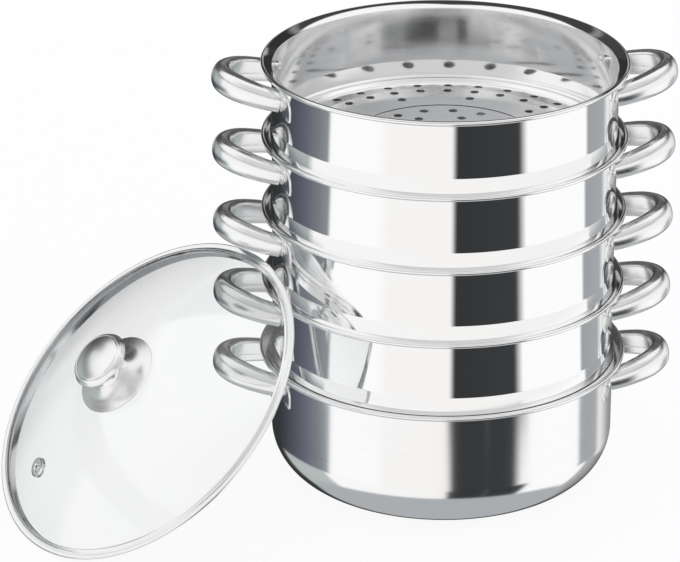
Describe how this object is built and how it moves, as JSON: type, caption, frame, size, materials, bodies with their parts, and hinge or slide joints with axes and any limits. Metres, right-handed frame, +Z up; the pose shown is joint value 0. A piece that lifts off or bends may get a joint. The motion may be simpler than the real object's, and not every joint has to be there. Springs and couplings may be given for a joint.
{
  "type": "steamer pot",
  "caption": "Stacked steel steamer pot: deep pan, nesting steaming tiers with pierced floors and loop handles, and a domed glass lid leaning beside them.",
  "frame": {"origin": "middle of the pot's base, on the surface that it stands on", "axes": "+Z up the stack, +X through the middles of the right handles, so that Y runs across them"},
  "size_m": [0.5515, 0.3656, 0.3562],
  "materials": {
    "polished_steel": "mirror polished stainless steel sheet",
    "handle_steel": "polished stainless steel",
    "rivet_steel": "satin stainless steel",
    "lid_glass": "clear tempered glass",
    "band_steel": "fine brushed stainless steel",
    "knob_steel": "fine brushed stainless steel",
    "screw_steel": "plain steel",
    "washer_rubber": "matte black silicone"
  },
  "bodies": {
    "pot": {"pot_body": "polished_steel", "pot_handle_left": "handle_steel", "pot_handle_right": "handle_steel", "pot_rivets": "rivet_steel"},
    "tier_1": {"tier_1_body": "polished_steel", "tier_1_handle_left": "handle_steel", "tier_1_handle_right": "handle_steel", "tier_1_rivets": "rivet_steel"},
    "tier_2": {"tier_2_body": "polished_steel", "tier_2_handle_left": "handle_steel", "tier_2_handle_right": "handle_steel", "tier_2_rivets": "rivet_steel"},
    "tier_3": {"tier_3_body": "polished_steel", "tier_3_handle_left": "handle_steel", "tier_3_handle_right": "handle_steel", "tier_3_rivets": "rivet_steel"},
    "tier_4": {"tier_4_body": "polished_steel", "tier_4_handle_left": "handle_steel", "tier_4_handle_right": "handle_steel", "tier_4_rivets": "rivet_steel"},
    "lid": {"lid_glass": "lid_glass", "lid_rim_band": "band_steel", "lid_knob_cap": "knob_steel", "lid_knob_skirt": "knob_steel", "lid_knob_screw": "screw_steel", "lid_knob_washer": "washer_rubber", "lid_vent_grommet": "band_steel"}
  },
  "joints": [
    {"name": "tier_1_lift", "type": "slide", "parent": "pot", "child": "tier_1", "axis": [0, 0, 1], "range_m": [0, 0.012]},
    {"name": "tier_2_lift", "type": "slide", "parent": "tier_1", "child": "tier_2", "axis": [0, 0, 1], "range_m": [0, 0.12]},
    {"name": "tier_3_lift", "type": "slide", "parent": "tier_2", "child": "tier_3", "axis": [0, 0, 1], "range_m": [0, 0.12]},
    {"name": "tier_4_lift", "type": "slide", "parent": "tier_3", "child": "tier_4", "axis": [0, 0, 1], "range_m": [0, 0.12]},
    {"name": "lid_away", "type": "slide", "parent": "pot", "child": "lid", "axis": [-0.8536, -0.521, 0], "range_m": [0, 0.15]}
  ]
}
